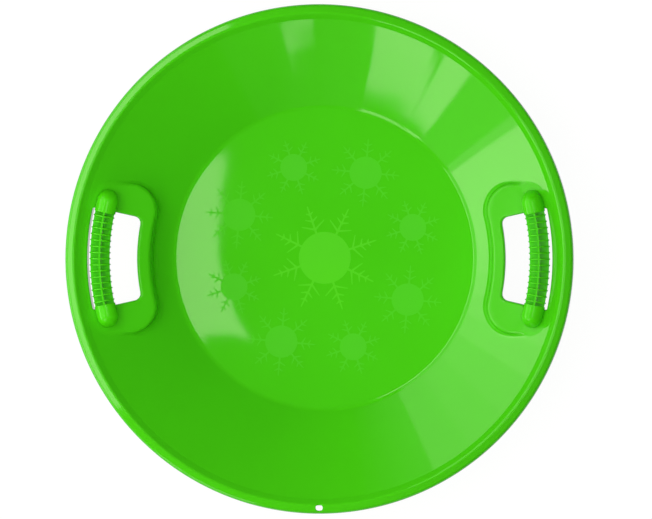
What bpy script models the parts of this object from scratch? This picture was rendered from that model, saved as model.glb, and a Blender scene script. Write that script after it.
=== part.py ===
"""Round snow saucer with two hand grips, modelled as it comes apart on a bench.

Frame: metres, +Z up, the saucer lies on the flat of its underside at Z = 0.
The grips are at -X and +X, and the tow hole is in the rim at -Y.
"""
import math

import bmesh
import bpy
from mathutils import Matrix, Vector

# Dish, turned about Z: radii and heights of its upper skin's corners before rounding
OUTER_RADIUS = 0.300
WALL_THICKNESS = 0.0025
FLAT_FLOOR_RADIUS = 0.070
FLOOR_BEND_RADIUS = 0.118
FLOOR_RADIUS = 0.178
FLOOR_EDGE_SLOPE = math.radians(6.3)
FLOOR_EDGE_FILLET = 0.015
WALL_TOP_RADIUS = 0.2825
WALL_TOP_HEIGHT = 0.0830
STEP_TOP_RADIUS = 0.2895
STEP_TOP_HEIGHT = 0.0895
STEP_FILLET = 0.005
CREST_FILLET = 0.004
FLANGE_SLOPE = math.radians(12.0)
FLANGE_FILLET = 0.0045
SKIRT_FOOT_HEIGHT = 0.077
TURN_STEPS = 72
MERGE_DISTANCE = 0.00005

# Tow hole in the flange
TOW_HOLE_RADIUS = 0.0042
TOW_HOLE_FROM_AXIS = 0.2930

# Pod: the raised island that carries a grip, with steep drafted flanks and a flat top that
# falls from the wall behind the hand hole towards the dish's centre
POD_TOP_HEIGHT = 0.0780
POD_TOP_REACH = 0.2755
POD_TOP_SLOPE = math.radians(17.5)
POD_INNER_RADIUS = 0.202
POD_HALF_LENGTH = 0.0885
POD_CORNER_RADIUS = 0.032
POD_BURIED_RADIUS = 0.2765
POD_HOLLOW_RADIUS = 0.286
POD_EDGE_ROUND = 0.0035
POD_DRAFT = math.radians(4.8)
POD_FOOT_HEIGHT = 0.015
POD_LONG_STEPS = 10
POD_CORNER_STEPS = 9

# Hand hole through the pod, with a collar that hangs from its edge
HOLE_INNER_RADIUS = 0.2175
HOLE_OUTER_RADIUS = 0.2745
HOLE_HALF_ANGLE = math.radians(12.65)
HOLE_INNER_CORNER = 0.008
HOLE_OUTER_CORNER = 0.002
HOLE_LONG_STEPS = 8
HOLE_INNER_CORNER_STEPS = 5
HOLE_OUTER_CORNER_STEPS = 3
COLLAR_THICKNESS = 0.0022
COLLAR_FOOT_HEIGHT = 0.050
COLLAR_HEAD_SINK = 0.0002

# Grip: a finned bar bent about the dish's axis, with a domed foot at each end
GRIP_RADIUS = 0.2595
GRIP_HALF_WIDTH = 0.0125
GRIP_HALF_HEIGHT = 0.0120
GRIP_CENTRE_HEIGHT = 0.078
FIN_COUNT = 15
FIN_PITCH = math.radians(1.58)
FIN_THICKNESS = 0.0016
END_PLATE_THICKNESS = 0.0022
END_PLATE_ANGLE = math.radians(12.30)
FIN_SIDES = 20
WEB_HALF_THICKNESS = 0.0011
WEB_HALF_HEIGHT = 0.0112
FLOOR_HALF_WIDTH = 0.0114
FLOOR_HALF_THICKNESS = 0.0012
SEAT_GAP = 0.0003
DOME_START_ANGLE = math.radians(12.20)
DOME_TAPER_ANGLE = math.radians(15.00)
DOME_END_ANGLE = math.radians(18.15)
DOME_END_SHARE = 0.97
DOME_RINGS = 6
DOME_SIDES = 12

# Snap peg under each domed foot, and its hole in the pod's top
PEG_ANGLE = math.radians(15.0)
PEG_RADIUS = 0.0040
PEG_HOLE_RADIUS = 0.0045
PEG_HEAD_RADIUS = 0.0054
PEG_HEAD_LIP = 0.0010
PEG_TIP_RADIUS = 0.0030
PEG_TIP_HEIGHT = 0.0590
PEG_ROOT_HEIGHT = 0.080
PEG_SLIT_WIDTH = 0.0018
PEG_SIDES = 16

# Cutters run this far past what they cut, and the bowl's space ends here
CUT_CLEARANCE = 0.010
BOWL_CEILING = 0.120
BOWL_REACH = 0.290
SHARP_EDGE_ANGLE = math.radians(35.0)

SIDES = {"right": 0.0, "left": math.pi}
GREEN = (0.067, 0.584, 0.0098, 1.0)
GRIP_GREEN = (0.058, 0.545, 0.0090, 1.0)


def clear_scene():
    for old in list(bpy.data.objects):
        bpy.data.objects.remove(old, do_unlink=True)


def new_collection(name):
    collection = bpy.data.collections.new(name)
    bpy.context.scene.collection.children.link(collection)
    return collection


def plastic(name, colour, roughness):
    material = bpy.data.materials.new(name)
    material.use_nodes = True
    shader = material.node_tree.nodes["Principled BSDF"]
    shader.inputs["Base Color"].default_value = colour
    shader.inputs["Roughness"].default_value = roughness
    shader.inputs["Metallic"].default_value = 0.0
    return material


def add_object(name, bm, collection):
    mesh = bpy.data.meshes.new(name)
    bm.to_mesh(mesh)
    bm.free()
    mesh.shade_smooth()
    mesh.set_sharp_from_angle(angle=SHARP_EDGE_ANGLE)
    obj = bpy.data.objects.new(name, mesh)
    collection.objects.link(obj)
    return obj


def as_cutter(obj):
    obj.hide_render = True
    obj.display_type = "WIRE"
    return obj


def boolean(obj, other, operation):
    modifier = obj.modifiers.new(operation.lower() + "_" + other.name, "BOOLEAN")
    modifier.operation = operation
    modifier.solver = "EXACT"
    modifier.object = other


def turn(obj, steps):
    screw = obj.modifiers.new("turn", "SCREW")
    screw.axis = "Z"
    screw.angle = 2.0 * math.pi
    screw.steps = steps
    screw.render_steps = steps
    screw.use_merge_vertices = True
    screw.merge_threshold = MERGE_DISTANCE
    screw.use_smooth_shade = True


def polar(radius, angle):
    return Vector((radius * math.cos(angle), radius * math.sin(angle)))


def arc(centre, radius, start, end, steps):
    """Points along an arc from the start angle to the end angle, both included."""
    points = []
    for i in range(steps + 1):
        angle = start + (end - start) * i / steps
        points.append(centre + polar(radius, angle))
    return points


def rounded(corners):
    """A polyline through corners (x, y, fillet radius, steps), with each corner filleted."""
    points = [Vector(corners[0][:2])]
    for i in range(1, len(corners) - 1):
        x, y, radius, steps = corners[i]
        corner = Vector((x, y))
        back = (Vector(corners[i - 1][:2]) - corner).normalized()
        ahead = (Vector(corners[i + 1][:2]) - corner).normalized()
        half = back.angle(ahead) / 2.0
        centre = corner + (back + ahead).normalized() * radius / math.sin(half)
        first = corner + back * radius / math.tan(half) - centre
        last = corner + ahead * radius / math.tan(half) - centre
        start = math.atan2(first.y, first.x)
        sweep = first.angle_signed(last)
        points.extend(arc(centre, radius, start, start - sweep, steps))
    points.append(Vector(corners[-1][:2]))
    return points


def wall_height(radius):
    """Height of the wall's upper skin, a straight cone from the floor's edge to the rim."""
    rise = (radius - FLOOR_RADIUS) / (WALL_TOP_RADIUS - FLOOR_RADIUS)
    return floor_edge_height() + rise * (WALL_TOP_HEIGHT - floor_edge_height())


def floor_edge_height():
    return WALL_THICKNESS + (FLOOR_RADIUS - FLOOR_BEND_RADIUS) * math.tan(FLOOR_EDGE_SLOPE)


def dish_profile():
    """Upper skin from the floor's centre, up the wall, over the rim and down its skirt."""
    bend_run = FLOOR_BEND_RADIUS - FLAT_FLOOR_RADIUS
    bend_fillet = bend_run / math.tan(FLOOR_EDGE_SLOPE / 2.0)
    flange_run = OUTER_RADIUS - STEP_TOP_RADIUS
    flange_edge = STEP_TOP_HEIGHT - flange_run * math.tan(FLANGE_SLOPE)
    corners = [
        (0.0, WALL_THICKNESS),
        (FLOOR_BEND_RADIUS, WALL_THICKNESS, bend_fillet, 4),
        (FLOOR_RADIUS, floor_edge_height(), FLOOR_EDGE_FILLET, 2),
        (WALL_TOP_RADIUS, WALL_TOP_HEIGHT, STEP_FILLET, 2),
        (STEP_TOP_RADIUS, STEP_TOP_HEIGHT, CREST_FILLET, 3),
        (OUTER_RADIUS, flange_edge, FLANGE_FILLET, 4),
        (OUTER_RADIUS, SKIRT_FOOT_HEIGHT),
    ]
    return rounded(corners)


def underside(skin):
    """The skin's points moved square to it by the wall thickness, to its right."""
    points = []
    for i, point in enumerate(skin):
        before = skin[max(i - 1, 0)]
        after = skin[min(i + 1, len(skin) - 1)]
        first = (point - before).normalized() if i > 0 else (after - point).normalized()
        last = (after - point).normalized() if i < len(skin) - 1 else first
        normal = (first + last).normalized()
        right = Vector((normal.y, -normal.x))
        points.append(point + right * WALL_THICKNESS / normal.dot(last))
    return points


def profile_object(name, points, collection):
    """An outline in the XZ plane from axis to axis, ready to be turned about Z."""
    bm = bmesh.new()
    verts = [bm.verts.new((point.x, 0.0, point.y)) for point in points]
    for first, second in zip(verts, verts[1:]):
        bm.edges.new((first, second))
    return add_object(name, bm, collection)


def loft(bm, rings):
    """Skin closed rings of equal count, bottom ring first, and cap both ends."""
    rows = [[bm.verts.new(point) for point in ring] for ring in rings]
    count = len(rows[0])
    for low, high in zip(rows, rows[1:]):
        for i in range(count):
            j = (i + 1) % count
            bm.faces.new((low[i], low[j], high[j], high[i]))
    bm.faces.new(list(reversed(rows[0])))
    bm.faces.new(rows[-1])


def pod_outline(grow, outer_radius):
    """Plan outline of a pod at +X, grown outwards by the given distance."""
    reach = POD_INNER_RADIUS + POD_CORNER_RADIUS
    corner_y = POD_HALF_LENGTH - POD_CORNER_RADIUS
    corner_x = math.sqrt(reach ** 2 - corner_y ** 2)
    lean = math.atan2(corner_y, corner_x)
    round_radius = POD_CORNER_RADIUS + grow
    end_angle = math.asin((POD_HALF_LENGTH + grow) / outer_radius)
    origin = Vector((0.0, 0.0))
    upper = Vector((corner_x, corner_y))
    lower = Vector((corner_x, -corner_y))
    points = arc(origin, outer_radius, -end_angle, end_angle, POD_LONG_STEPS)
    points += arc(upper, round_radius, math.pi / 2.0, math.pi + lean, POD_CORNER_STEPS)
    points += arc(origin, POD_INNER_RADIUS - grow, lean, -lean, POD_LONG_STEPS)[1:-1]
    points += arc(lower, round_radius, math.pi - lean, 1.5 * math.pi, POD_CORNER_STEPS)
    return points


def hole_outline(grow):
    """Plan outline of the hand hole at +X, grown outwards by the given distance."""
    inner_reach = HOLE_INNER_RADIUS + HOLE_INNER_CORNER
    outer_reach = HOLE_OUTER_RADIUS - HOLE_OUTER_CORNER
    inner_angle = HOLE_HALF_ANGLE - math.asin(HOLE_INNER_CORNER / inner_reach)
    outer_angle = HOLE_HALF_ANGLE - math.asin(HOLE_OUTER_CORNER / outer_reach)
    side = HOLE_HALF_ANGLE + math.pi / 2.0
    inner_round = HOLE_INNER_CORNER + grow
    outer_round = HOLE_OUTER_CORNER + grow
    origin = Vector((0.0, 0.0))
    far = arc(origin, HOLE_OUTER_RADIUS + grow, -outer_angle, outer_angle, HOLE_LONG_STEPS)
    near = arc(origin, HOLE_INNER_RADIUS - grow, inner_angle, -inner_angle, HOLE_LONG_STEPS)
    far_upper = arc(polar(outer_reach, outer_angle), outer_round, outer_angle, side,
                    HOLE_OUTER_CORNER_STEPS)
    near_upper = arc(polar(inner_reach, inner_angle), inner_round, side,
                     math.pi + inner_angle, HOLE_INNER_CORNER_STEPS)
    near_lower = arc(polar(inner_reach, -inner_angle), inner_round,
                     math.pi - inner_angle, 2.0 * math.pi - side, HOLE_INNER_CORNER_STEPS)
    far_lower = arc(polar(outer_reach, -outer_angle), outer_round, -side, -outer_angle,
                    HOLE_OUTER_CORNER_STEPS)
    return far + far_upper[1:] + near_upper + near[1:-1] + near_lower + far_lower[:-1]


def at_height(points, height, turn_angle):
    spin = Matrix.Rotation(turn_angle, 3, "Z")
    return [spin @ Vector((point.x, point.y, height)) for point in points]


def pod_top(x):
    """Height of the top of the pod at +X, level along Y."""
    return POD_TOP_HEIGHT - (POD_TOP_REACH - x) * math.tan(POD_TOP_SLOPE)


def below_top(points, depth, turn_angle):
    """Plan points at a depth below the pod's sloping top."""
    spin = Matrix.Rotation(turn_angle, 3, "Z")
    return [spin @ Vector((point.x, point.y, pod_top(point.x) - depth)) for point in points]


def pod_foot(grow, shoulder_depth, outer_radius):
    """Outline of the pod's foot, which the draft sets further out below a higher shoulder."""
    outline = pod_outline(grow, outer_radius)
    spread = pod_outline(grow + MERGE_DISTANCE, outer_radius)
    foot = []
    for point, outer in zip(outline, spread):
        drop = pod_top(point.x) - shoulder_depth - POD_FOOT_HEIGHT
        foot.append(point + (outer - point) / MERGE_DISTANCE * drop * math.tan(POD_DRAFT))
    return foot


def pod_body(name, grow, depth, edge_round, outer_radius, collection):
    """Both pods as drafted islands with a rounded top edge, solid down to their foot."""
    bm = bmesh.new()
    foot = pod_foot(grow, depth + edge_round, outer_radius)
    for turn_angle in SIDES.values():
        rings = [at_height(foot, POD_FOOT_HEIGHT, turn_angle)]
        for tilt in (0.0, 30.0, 60.0, 90.0):
            inset = edge_round * (1.0 - math.cos(math.radians(tilt)))
            sunk = depth + edge_round * (1.0 - math.sin(math.radians(tilt)))
            outline = pod_outline(grow - inset, outer_radius)
            rings.append(below_top(outline, sunk, turn_angle))
        loft(bm, rings)
    return as_cutter(add_object(name, bm, collection))


def hole_body(name, grow, foot_height, head_depth, collection):
    """Upright prisms on both hand holes' outline, up to a depth below the pods' tops."""
    bm = bmesh.new()
    outline = hole_outline(grow)
    for turn_angle in SIDES.values():
        loft(bm, [at_height(outline, foot_height, turn_angle),
                  below_top(outline, head_depth, turn_angle)])
    return as_cutter(add_object(name, bm, collection))


def bowl_space(collection):
    """Everything above the middle of the dish's wall, which trims the pods from below."""
    lift = -0.5 * WALL_THICKNESS
    points = [
        Vector((0.0, BOWL_CEILING)),
        Vector((BOWL_REACH, BOWL_CEILING)),
        Vector((BOWL_REACH, wall_height(BOWL_REACH) + lift)),
        Vector((FLOOR_RADIUS, floor_edge_height() + lift)),
        Vector((0.0, WALL_THICKNESS + lift)),
    ]
    obj = profile_object("bowl_space", points, collection)
    turn(obj, TURN_STEPS)
    return as_cutter(obj)


def round_cutters(collection):
    """The tow hole and the four peg holes, as upright cylinders."""
    bm = bmesh.new()
    depth = 2.0 * CUT_CLEARANCE
    middle = Matrix.Translation((0.0, -TOW_HOLE_FROM_AXIS, WALL_TOP_HEIGHT))
    bmesh.ops.create_cone(bm, cap_ends=True, segments=PEG_SIDES, radius1=TOW_HOLE_RADIUS,
                          radius2=TOW_HOLE_RADIUS, depth=depth, matrix=middle)
    for turn_angle in SIDES.values():
        for sign in (-1.0, 1.0):
            spot = polar(GRIP_RADIUS, turn_angle + sign * PEG_ANGLE)
            middle = Matrix.Translation((spot.x, spot.y, pod_top(abs(spot.x))))
            bmesh.ops.create_cone(bm, cap_ends=True, segments=PEG_SIDES,
                                  radius1=PEG_HOLE_RADIUS, radius2=PEG_HOLE_RADIUS,
                                  depth=depth, matrix=middle)
    return as_cutter(add_object("round_holes", bm, collection))


def make_dish(parts, cutters):
    skin = dish_profile()
    dish = profile_object("dish_shell", skin + list(reversed(underside(skin))), parts)
    turn(dish, TURN_STEPS)
    pods = pod_body("pods", 0.0, 0.0, POD_EDGE_ROUND, POD_BURIED_RADIUS, cutters)
    boolean(pods, bowl_space(cutters), "INTERSECT")
    hollows = pod_body("pod_hollows", -WALL_THICKNESS, WALL_THICKNESS / math.cos(POD_TOP_SLOPE),
                       POD_EDGE_ROUND - WALL_THICKNESS, POD_HOLLOW_RADIUS, cutters)
    collars = hole_body("collars", COLLAR_THICKNESS, COLLAR_FOOT_HEIGHT, COLLAR_HEAD_SINK, cutters)
    holes = hole_body("hand_holes", 0.0, COLLAR_FOOT_HEIGHT - CUT_CLEARANCE, -CUT_CLEARANCE, cutters)

    boolean(dish, pods, "UNION")
    boolean(dish, hollows, "DIFFERENCE")
    boolean(dish, collars, "UNION")
    boolean(dish, holes, "DIFFERENCE")
    boolean(dish, round_cutters(cutters), "DIFFERENCE")
    dish.data.materials.append(plastic("dish_green", GREEN, 0.2))
    return dish


def grip_point(angle, across, height):
    """A point beside the grip's bent axis: across is outwards from the dish's centre."""
    spot = polar(GRIP_RADIUS + across, angle)
    return Vector((spot.x, spot.y, height))


def spine_section():
    """Cross of the upright web and the pocket floor, as (across, height) corners."""
    web, tall = WEB_HALF_THICKNESS, WEB_HALF_HEIGHT
    wide, floor = FLOOR_HALF_WIDTH, FLOOR_HALF_THICKNESS
    return [
        (wide, -floor), (wide, floor), (web, floor), (web, tall),
        (-web, tall), (-web, floor), (-wide, floor), (-wide, -floor),
        (-web, -floor), (-web, -tall), (web, -tall), (web, -floor),
    ]


def make_spine(name, turn_angle, collection):
    """The grip's unbroken spine, from one end plate to the other."""
    bm = bmesh.new()
    rings = []
    steps = FIN_COUNT + 1
    for i in range(steps + 1):
        angle = turn_angle + END_PLATE_ANGLE * (2.0 * i / steps - 1.0)
        rings.append([grip_point(angle, across, GRIP_CENTRE_HEIGHT + height)
                      for across, height in reversed(spine_section())])
    loft(bm, rings)
    return add_object(name, bm, collection)


def disc(bm, angle, thickness):
    """One upright oval plate square to the grip's axis."""
    place = Matrix.Translation(grip_point(angle, 0.0, GRIP_CENTRE_HEIGHT))
    aim = Matrix.Rotation(angle, 4, "Z") @ Matrix.Rotation(math.pi / 2.0, 4, "X")
    oval = Matrix.Diagonal((GRIP_HALF_WIDTH, GRIP_HALF_HEIGHT, 1.0, 1.0))
    bmesh.ops.create_cone(bm, cap_ends=True, segments=FIN_SIDES, radius1=1.0, radius2=1.0,
                          depth=thickness, matrix=place @ aim @ oval)


def make_fins(name, turn_angle, collection):
    bm = bmesh.new()
    for i in range(FIN_COUNT):
        place = i - (FIN_COUNT - 1) / 2.0
        disc(bm, turn_angle + place * FIN_PITCH, FIN_THICKNESS)
    for sign in (-1.0, 1.0):
        disc(bm, turn_angle + sign * END_PLATE_ANGLE, END_PLATE_THICKNESS)
    return as_cutter(add_object(name, bm, collection))


def dome_section(turn_angle, angle, scale):
    """Part of an oval, cut straight just above the pod's sloping top."""
    base = pod_top(GRIP_RADIUS * math.cos(angle)) + SEAT_GAP
    slant = GRIP_HALF_WIDTH * math.tan(POD_TOP_SLOPE) * math.cos(angle)
    turn_in = math.atan2(slant, GRIP_HALF_HEIGHT)
    cut = math.asin((base - GRIP_CENTRE_HEIGHT) / math.hypot(GRIP_HALF_HEIGHT, slant))
    ring = []
    for i in range(DOME_SIDES + 1):
        lean = turn_in + cut + (math.pi - 2.0 * cut) * i / DOME_SIDES
        across = GRIP_HALF_WIDTH * math.cos(lean)
        rise = GRIP_CENTRE_HEIGHT + GRIP_HALF_HEIGHT * math.sin(lean) - base
        ring.append(grip_point(turn_angle + angle, across * scale, base + rise * scale))
    return ring


def wall_space(name, collection):
    """Everything below the wall's upper skin and the grips' gap to it."""
    run = WALL_TOP_RADIUS - FLOOR_RADIUS
    lift = SEAT_GAP * math.hypot(1.0, (WALL_TOP_HEIGHT - floor_edge_height()) / run)
    points = [
        Vector((0.0, floor_edge_height() + lift)),
        Vector((FLOOR_RADIUS, floor_edge_height() + lift)),
        Vector((WALL_TOP_RADIUS, WALL_TOP_HEIGHT + lift)),
        Vector((WALL_TOP_RADIUS, -CUT_CLEARANCE)),
        Vector((0.0, -CUT_CLEARANCE)),
    ]
    obj = profile_object(name, points, collection)
    turn(obj, TURN_STEPS)
    return as_cutter(obj)


def make_domes(name, turn_angle, collection):
    """The two domed feet, round at their far ends and cut clear of the wall."""
    bm = bmesh.new()
    for sign in (-1.0, 1.0):
        rings = [dome_section(turn_angle, sign * DOME_START_ANGLE, 1.0)]
        for i in range(DOME_RINGS):
            share = DOME_END_SHARE * math.sin(0.5 * math.pi * i / (DOME_RINGS - 1))
            angle = DOME_TAPER_ANGLE + share * (DOME_END_ANGLE - DOME_TAPER_ANGLE)
            rings.append(dome_section(turn_angle, sign * angle, math.sqrt(1.0 - share ** 2)))
        if sign > 0.0:
            rings = [list(reversed(ring)) for ring in rings]
        loft(bm, rings)
    domes = as_cutter(add_object(name, bm, collection))
    boolean(domes, wall_space(name + "_wall_space", collection), "DIFFERENCE")
    return domes


def peg_head_height():
    """Top of the pegs' barbed heads, just under the pods' sloping skin."""
    inner_edge = GRIP_RADIUS * math.cos(PEG_ANGLE) - PEG_HEAD_RADIUS
    return pod_top(inner_edge) - WALL_THICKNESS / math.cos(POD_TOP_SLOPE) - SEAT_GAP


def make_pegs(name, turn_angle, collection):
    """The feet's snap pegs, each a turned peg with a barbed head."""
    head = peg_head_height()
    outline = [
        (PEG_TIP_RADIUS, PEG_TIP_HEIGHT), (PEG_HEAD_RADIUS, head - PEG_HEAD_LIP),
        (PEG_HEAD_RADIUS, head), (PEG_RADIUS, head), (PEG_RADIUS, PEG_ROOT_HEIGHT),
    ]
    bm = bmesh.new()
    for sign in (-1.0, 1.0):
        spot = polar(GRIP_RADIUS, turn_angle + sign * PEG_ANGLE)
        rings = []
        for radius, height in outline:
            circle = arc(spot, radius, 0.0, 2.0 * math.pi, PEG_SIDES)[:-1]
            rings.append([Vector((point.x, point.y, height)) for point in circle])
        loft(bm, rings)
    return as_cutter(add_object(name, bm, collection))


def make_peg_slits(name, turn_angle, collection):
    """Slits that let each barbed head squeeze through its hole."""
    high = peg_head_height()
    low = PEG_TIP_HEIGHT - CUT_CLEARANCE
    size = (2.0 * (PEG_HEAD_RADIUS + CUT_CLEARANCE), PEG_SLIT_WIDTH, high - low, 1.0)
    bm = bmesh.new()
    for sign in (-1.0, 1.0):
        angle = turn_angle + sign * PEG_ANGLE
        middle = Matrix.Translation(grip_point(angle, 0.0, (low + high) / 2.0))
        aim = Matrix.Rotation(angle, 4, "Z")
        bmesh.ops.create_cube(bm, size=1.0, matrix=middle @ aim @ Matrix.Diagonal(size))
    return as_cutter(add_object(name, bm, collection))


def make_grip(side, parts, cutters):
    turn_angle = SIDES[side]
    grip = make_spine(side + "_grip", turn_angle, parts)
    boolean(grip, make_fins(side + "_fins", turn_angle, cutters), "UNION")
    boolean(grip, make_domes(side + "_domes", turn_angle, cutters), "UNION")
    boolean(grip, make_pegs(side + "_pegs", turn_angle, cutters), "UNION")
    boolean(grip, make_peg_slits(side + "_slits", turn_angle, cutters), "DIFFERENCE")
    grip.data.materials.append(plastic(side + "_grip_green", GRIP_GREEN, 0.3))
    return grip


def main():
    clear_scene()
    parts = new_collection("snow_saucer")
    cutters = new_collection("cutters")
    make_dish(parts, cutters)
    for side in SIDES:
        make_grip(side, parts, cutters)


main()
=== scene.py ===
"""Looks of a round snow saucer with two hand grips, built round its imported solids.

Metres, +Z up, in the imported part's frame: the grips are at -X and +X, the tow hole is at -Y.
The dish is one moulded skin: a height field in plan, with fillets where its forms meet, rolled
over at the hand holes and at the rim, and given its thickness square to its own surface.
"""
import math

import bmesh
import bpy
import numpy as np
from mathutils import Matrix, Vector
from mathutils.geometry import delaunay_2d_cdt
from mathutils.kdtree import KDTree

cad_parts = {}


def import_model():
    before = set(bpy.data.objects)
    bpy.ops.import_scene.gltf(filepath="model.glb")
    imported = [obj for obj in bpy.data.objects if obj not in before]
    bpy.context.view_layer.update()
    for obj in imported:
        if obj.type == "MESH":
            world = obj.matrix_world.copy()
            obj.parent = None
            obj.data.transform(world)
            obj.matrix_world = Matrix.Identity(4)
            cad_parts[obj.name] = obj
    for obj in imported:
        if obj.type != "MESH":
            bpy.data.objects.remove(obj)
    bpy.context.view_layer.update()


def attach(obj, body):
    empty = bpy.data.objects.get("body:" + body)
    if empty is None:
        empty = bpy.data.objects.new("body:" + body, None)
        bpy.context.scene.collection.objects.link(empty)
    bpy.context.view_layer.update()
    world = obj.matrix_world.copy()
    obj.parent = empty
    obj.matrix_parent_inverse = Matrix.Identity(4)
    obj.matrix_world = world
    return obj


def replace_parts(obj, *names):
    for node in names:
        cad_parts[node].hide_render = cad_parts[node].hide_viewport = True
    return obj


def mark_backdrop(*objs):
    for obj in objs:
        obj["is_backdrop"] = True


# Dish: radii and heights of its upper skin's corners before rounding, in metres
OUTER_RADIUS = 0.300
WALL_THICKNESS = 0.0025
FLAT_FLOOR_RADIUS = 0.070
FLOOR_BEND_RADIUS = 0.118
FLOOR_RADIUS = 0.178
FLOOR_EDGE_SLOPE = math.radians(6.3)
FLOOR_EDGE_FILLET = 0.015
WALL_TOP_RADIUS = 0.2825
WALL_TOP_HEIGHT = 0.0830
STEP_TOP_RADIUS = 0.2895
STEP_TOP_HEIGHT = 0.0895
STEP_FILLET = 0.005
CREST_FILLET = 0.004
FLANGE_SLOPE = math.radians(12.0)
FLANGE_FILLET = 0.0045
SKIRT_FOOT_HEIGHT = 0.077

# Tow hole in the flange
TOW_HOLE_RADIUS = 0.0042
TOW_HOLE_FROM_AXIS = 0.2930
HOLE_EDGE_ROUND = 0.0005

# Pods, with the fillet at their foot: their tops fall from behind the hand holes towards the centre
POD_TOP_HEIGHT = 0.0780
POD_TOP_REACH = 0.2755
POD_TOP_SLOPE = math.radians(17.5)
POD_INNER_RADIUS = 0.202
POD_HALF_LENGTH = 0.0885
POD_CORNER_RADIUS = 0.032
POD_EDGE_ROUND = 0.0035
POD_BACK_RADIUS = 0.2775
POD_DRAFT = math.radians(4.8)
POD_FOOT_FILLET = 0.0050

# Hand holes, with the lip that rolls over into their collar
HOLE_INNER_RADIUS = 0.2175
HOLE_OUTER_RADIUS = 0.2745
HOLE_HALF_ANGLE = math.radians(12.65)
HOLE_INNER_CORNER = 0.008
HOLE_OUTER_CORNER = 0.002
HOLE_LIP_ROUND = 0.0028
COLLAR_FOOT_HEIGHT = 0.050

# Grips: a bent bar of oval fins on a cross-shaped spine, between two domed feet
GRIP_RADIUS = 0.2595
GRIP_HALF_WIDTH = 0.0125
GRIP_HALF_HEIGHT = 0.0120
GRIP_CENTRE_HEIGHT = 0.078
FIN_COUNT = 15
FIN_PITCH = math.radians(1.58)
FIN_THICKNESS = 0.0016
END_PLATE_THICKNESS = 0.0022
END_PLATE_ANGLE = math.radians(12.30)
FIN_EDGE_ROUND = 0.0005
FIN_EDGE_DEGREES = (90.0, 60.0, 30.0, 0.0)
FIN_SIDES = 56
WEB_HALF_THICKNESS = 0.0011
WEB_HALF_HEIGHT = 0.0112
FLOOR_HALF_WIDTH = 0.0114
FLOOR_HALF_THICKNESS = 0.0012
SPINE_STEPS = 32
SEAT_GAP = 0.0003
DOME_START_ANGLE = math.radians(12.20)
DOME_TAPER_ANGLE = math.radians(15.00)
DOME_END_ANGLE = math.radians(18.15)
DOME_RINGS = 16
DOME_SIDES = 32

# Snap pegs under the grips' feet, in holes through the pods' tops
PEG_ANGLE = math.radians(15.0)
PEG_RADIUS = 0.0040
PEG_HOLE_RADIUS = 0.0045
PEG_HEAD_RADIUS = 0.0054
PEG_HEAD_LIP = 0.0010
PEG_TIP_RADIUS = 0.0030
PEG_TIP_HEIGHT = 0.0590
PEG_ROOT_HEIGHT = 0.080
PEG_SLIT_WIDTH = 0.0018
PEG_SLIT_LENGTH = 4.0 * PEG_HEAD_RADIUS
PEG_SIDES = 32

# Each grip's turn about the dish's axis, the two ways from a middle, and the bend of a sharp edge
SIDES = {"right": 0.0, "left": math.pi}
BOTH_WAYS = (-1.0, 1.0)
SHARP_ANGLE = math.radians(40.0)

# Snowflakes on the floor, and their ring. A kind is its disc's radius, its arms' reach, its turn, the
# arms' width, and the place along the arm and length of each pair of twigs
FLAKE_ARMS = 8
FLAKE_DISC_STEPS = 64
FLAKE_SPACING = 0.005
FLAKE_RELIEF = 0.00010
FLAKE_ROOT = 0.0003
FLAKE_TWIG_LEAN = math.radians(61.0)
FLAKE_TWIG_SHARE = 0.7
FLAKE_TIP_SHARE = 0.45
LARGE_FLAKE = (0.0306, 0.0645, math.radians(19.0), 0.0036,
               ((0.0350, 0.0165), (0.0450, 0.0090), (0.0535, 0.0055)))
SMALL_FLAKES = [
    (0.0190, 0.0405, math.radians(85.0), 0.0030, ((0.0240, 0.0088), (0.0318, 0.0060))),
    (0.0158, 0.0335, math.radians(18.0), 0.0030, ((0.0200, 0.0076), (0.0265, 0.0050))),
]
FLAKE_COUNT = 8
FLAKE_RING_RADIUS = 0.1112
FLAKE_RING_TURN = math.radians(63.4)
FLAKE_RING_MIDDLE = (-0.0015, 0.0008)

# Plastic: linear colours, roughness, specular levels, depths of its slow waves and of its fine grain
DISH_GREEN = (0.060, 0.580, 0.0058)
GRIP_GREEN = (0.064, 0.650, 0.0042)
LARGE_FLAKE_GREEN = (0.077, 0.625, 0.0080)
SMALL_FLAKE_GREEN = (0.064, 0.590, 0.0068)
DISH_ROUGHNESS = 0.055
GRIP_ROUGHNESS = 0.14
FLAKE_ROUGHNESS = 0.55
DISH_SPECULAR = 0.5
GRIP_SPECULAR = 0.3
FLAKE_SPECULAR = 0.15
DISH_WAVINESS = 0.0003
GRIP_WAVINESS = 0.0002
DISH_GRAIN = 0.000004
FLAKE_GRAIN = 0.00003
PLASTIC_IOR = 1.50

# Noise: scale, detail and roughness of the waves, the grain and the patches, and the part of the
# patches' range that changes colour and gloss, with the shares they change by
WAVE_NOISE = (12.0, 1.5, 0.4)
GRAIN_NOISE = (900.0, 3.0, 0.6)
PATCH_NOISE = (9.0, 4.0, 0.55)
PATCH_RANGE = (0.3, 0.7)
COLOUR_CHANGE = 0.02
GLOSS_CHANGE = 0.15

# Stage: the floor's glow in mirrors and in bounced light is dimmed under the dish as a painted
# shadow, which opens up between two radii about the dish's axis
FLOOR_REACH = 4.0
FLOOR_SEGMENTS = 4
FLOOR_GAP = 0.0002
FLOOR_GLOW = 0.955
FLOOR_BOUNCE = 0.6
# Painted shadow under the dish: the mirrored and bounced glow is nought within the first radius and
# full beyond the second
FLOOR_SHADE_RADIUS = 0.19
FLOOR_OPEN_RADIUS = 0.30
FLOOR_DIFFUSE = 0.07
WORLD_STRENGTH = 0.02

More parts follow.
